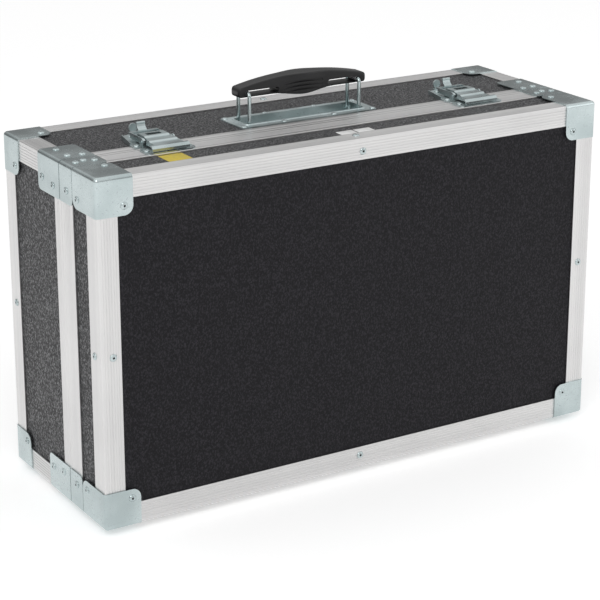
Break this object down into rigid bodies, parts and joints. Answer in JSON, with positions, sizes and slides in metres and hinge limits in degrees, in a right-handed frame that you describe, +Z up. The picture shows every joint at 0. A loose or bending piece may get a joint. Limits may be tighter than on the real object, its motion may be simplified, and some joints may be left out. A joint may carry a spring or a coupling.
{
  "type": "small flight case",
  "caption": "Upright black laminate flight case with aluminium edges, zinc corners, hinged front lid, draw latches and a drop handle on top.",
  "frame": {"origin": "middle of the box that encloses the closed case, on the ground plane under its feet", "axes": "+X along the width, -Y towards the lid face, +Z up with the case standing on its feet and the handle on top"},
  "size_m": [0.563, 0.203, 0.3872],
  "materials": {
    "laminate": "fine textured black laminate on birch plywood",
    "profile": "anodised, lengthwise ribs",
    "zinc": "bright zinc plate",
    "rivet": "bare blind rivets",
    "wire": "zinc plated round wire",
    "grip": "moulded black plastic",
    "bush": "plain moulded bush",
    "foam": "soft open cell foam",
    "rubber": "matt rubber"
  },
  "bodies": {
    "base": {"base_back_panel": "laminate", "base_bottom_panel": "laminate", "base_closing_frame": "profile", "base_corner_braces": "zinc", "base_corner_caps": "zinc", "base_depth_edges": "profile", "base_feet": "rubber", "base_foam_back": "foam", "base_foam_sides": "foam", "base_left_panel": "laminate", "base_rear_edges": "profile", "base_right_panel": "laminate", "base_rivets": "rivet", "base_top_panel": "laminate", "handle_dish": "zinc", "hinge_left_base_leaf": "zinc", "hinge_left_pin": "zinc", "hinge_right_base_leaf": "zinc", "hinge_right_pin": "zinc", "latch_left_base": "zinc", "latch_left_lever_pin": "zinc", "latch_right_base": "zinc", "latch_right_lever_pin": "zinc"},
    "lid": {"hinge_left_lid_leaf": "zinc", "hinge_right_lid_leaf": "zinc", "latch_left_keeper": "zinc", "latch_right_keeper": "zinc", "lid_bottom_panel": "laminate", "lid_closing_frame": "profile", "lid_corner_braces": "zinc", "lid_corner_caps": "zinc", "lid_depth_edges": "profile", "lid_face_panel": "laminate", "lid_feet": "rubber", "lid_foam": "foam", "lid_front_edges": "profile", "lid_left_panel": "laminate", "lid_right_panel": "laminate", "lid_rivets": "rivet", "lid_top_panel": "laminate"},
    "handle_bail_left": {"handle_bail_left": "wire"},
    "handle_bail_right": {"handle_bail_right": "wire"},
    "handle_bush_left": {"handle_bush_left": "bush"},
    "handle_bush_right": {"handle_bush_right": "bush"},
    "handle_grip": {"handle_grip": "grip", "handle_insert": "zinc"},
    "latch_left_lever": {"latch_left_claw_pin": "zinc", "latch_left_lever": "zinc"},
    "latch_left_claw": {"latch_left_claw": "zinc"},
    "latch_right_lever": {"latch_right_claw_pin": "zinc", "latch_right_lever": "zinc"},
    "latch_right_claw": {"latch_right_claw": "zinc"}
  },
  "joints": [
    {"name": "lid_hinge", "type": "hinge", "parent": "base", "child": "lid", "pos_m": [0, -0.026, 0.005], "axis": [1, 0, 0], "range_deg": [0, 100]},
    {"name": "bail_left_swing", "type": "hinge", "parent": "base", "child": "handle_bail_left", "pos_m": [-0.063, 0.0165, 0.3398], "axis": [0, 1, 0], "range_deg": [0, 74.55]},
    {"name": "bail_right_swing", "type": "hinge", "parent": "base", "child": "handle_bail_right", "pos_m": [0.063, 0.0165, 0.3398], "axis": [0, 1, 0], "range_deg": [-74.55, 0]},
    {"name": "bush_left_turn", "type": "hinge", "parent": "handle_bail_left", "child": "handle_bush_left", "pos_m": [-0.063, 0.0165, 0.3732], "axis": [0, 1, 0], "range_deg": [-74.55, 0]},
    {"name": "bush_right_turn", "type": "hinge", "parent": "handle_bail_right", "child": "handle_bush_right", "pos_m": [0.063, 0.0165, 0.3732], "axis": [0, 1, 0], "range_deg": [0, 74.55]},
    {"name": "grip_travel", "type": "slide", "parent": "handle_bush_right", "child": "handle_grip", "axis": [1, 0, 0], "range_m": [0, 0.03219]},
    {"name": "latch_left_lever_swing", "type": "hinge", "parent": "base", "child": "latch_left_lever", "pos_m": [-0.176, -0.019, 0.3488], "axis": [1, 0, 0], "range_deg": [0, 95]},
    {"name": "latch_left_claw_swing", "type": "hinge", "parent": "latch_left_lever", "child": "latch_left_claw", "pos_m": [-0.176, -0.001, 0.3482], "axis": [1, 0, 0], "range_deg": [-109.26, 0]},
    {"name": "latch_right_lever_swing", "type": "hinge", "parent": "base", "child": "latch_right_lever", "pos_m": [0.176, -0.019, 0.3488], "axis": [1, 0, 0], "range_deg": [0, 95]},
    {"name": "latch_right_claw_swing", "type": "hinge", "parent": "latch_right_lever", "child": "latch_right_claw", "pos_m": [0.176, -0.001, 0.3482], "axis": [1, 0, 0], "range_deg": [-109.26, 0]}
  ],
  "couplings": [
    {"joint": "bail_right_swing", "follows": "grip_travel", "rad_per_m": -40.416},
    {"joint": "bail_left_swing", "follows": "grip_travel", "rad_per_m": 40.416},
    {"joint": "bush_right_turn", "follows": "grip_travel", "rad_per_m": 40.416},
    {"joint": "bush_left_turn", "follows": "grip_travel", "rad_per_m": -40.416},
    {"joint": "latch_left_claw_swing", "follows": "latch_left_lever_swing", "ratio": -1.15},
    {"joint": "latch_right_claw_swing", "follows": "latch_right_lever_swing", "ratio": -1.15}
  ]
}
